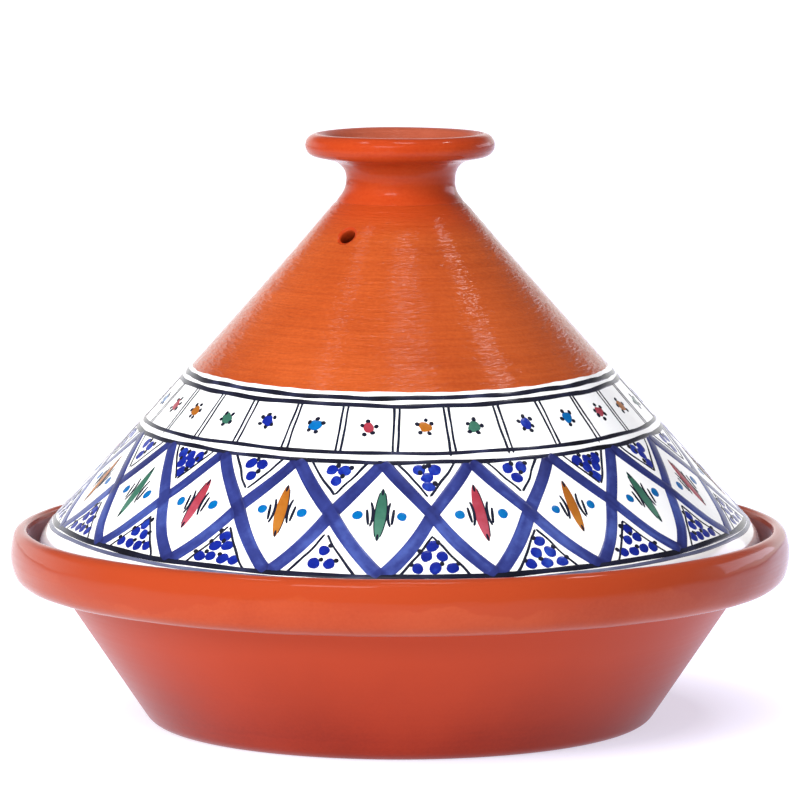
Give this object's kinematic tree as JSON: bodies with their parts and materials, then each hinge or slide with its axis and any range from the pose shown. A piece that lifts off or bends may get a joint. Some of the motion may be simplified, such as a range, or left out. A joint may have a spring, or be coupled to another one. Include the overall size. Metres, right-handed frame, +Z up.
{
  "type": "tagine pot",
  "caption": "Terracotta cooking dish with a galleried rim and a lift-off conical lid with a steam vent, painted bands and a dished knob.",
  "frame": {"origin": "centre of the dish's standing ring, on the table", "axes": "+Z up along the axis of the dish and lid, -Y towards the front, with the steam vent on the front left"},
  "size_m": [0.3116, 0.3116, 0.2352],
  "materials": {
    "dish_terracotta": "terracotta under a thin clear glaze, glossier on the rim band than on the wall",
    "lid_terracotta": "terracotta under a clear glaze, with fine throwing rings",
    "knob_terracotta": "terracotta under a clear glaze",
    "white_glaze": "opaque white glaze band on the lid",
    "cobalt_paint": "brushed cobalt blue under the glaze, darker where strokes cross",
    "line_paint": "blue-black line work under the glaze",
    "turquoise_paint": "turquoise dots",
    "green_paint": "green brush marks",
    "red_paint": "rose red brush marks",
    "orange_paint": "orange brush marks"
  },
  "bodies": {
    "dish": {"dish": "dish_terracotta"},
    "lid": {"lid_cone": "lid_terracotta", "lid_knob": "knob_terracotta"}
  },
  "joints": [
    {"name": "lid_lift", "type": "slide", "parent": "dish", "child": "lid", "axis": [0, 0, 1], "range_m": [0, 0.25]}
  ]
}
